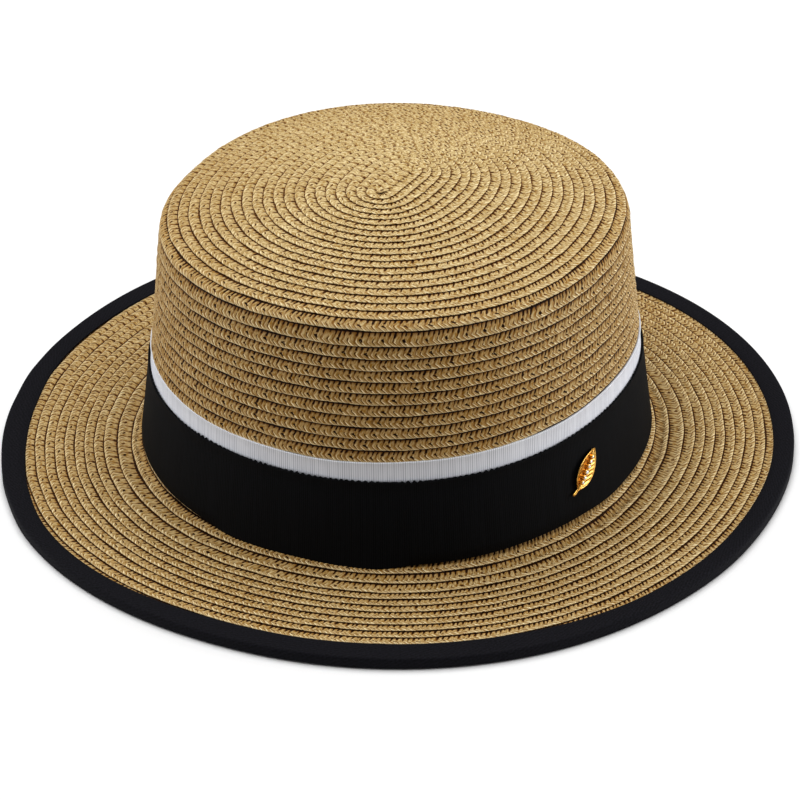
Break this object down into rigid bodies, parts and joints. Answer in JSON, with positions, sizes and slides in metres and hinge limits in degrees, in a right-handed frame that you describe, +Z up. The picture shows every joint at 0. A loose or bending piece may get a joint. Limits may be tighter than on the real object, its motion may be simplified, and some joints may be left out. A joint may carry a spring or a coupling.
{
  "type": "straw boater hat",
  "caption": "Flat-crowned hat of sewn paper braid with a black and white ribbon, a bound brim and a small gilt leaf pin.",
  "frame": {"origin": "centre of the hat's box on the surface it rests on, under the middle of the crown", "axes": "+Z up through the crown, -Y the way the wearer faces, +X the wearer's left, where the leaf is pinned"},
  "size_m": [0.2904, 0.2928, 0.1054],
  "materials": {
    "straw_braid": "plaited twisted paper, lightly starched, satin",
    "binding_tape": "matt twill tape",
    "black_ribbon": "fine ribbed grosgrain, matt",
    "white_ribbon": "fine ribbed grosgrain",
    "gilt": "polished gilt alloy",
    "clutch_steel": "plain plated steel",
    "crystal": "clear cut glass"
  },
  "bodies": {
    "root": {"crown": "straw_braid", "brim": "straw_braid", "brim_binding": "binding_tape", "ribbon_band": "black_ribbon", "ribbon_edging": "white_ribbon", "leaf_ornament": "gilt", "pin_clutch": "clutch_steel", "leaf_stone_1": "crystal", "leaf_stone_2": "crystal", "leaf_stone_3": "crystal", "leaf_stone_4": "crystal", "leaf_stone_5": "crystal", "leaf_stone_6": "crystal"}
  },
  "joints": []
}
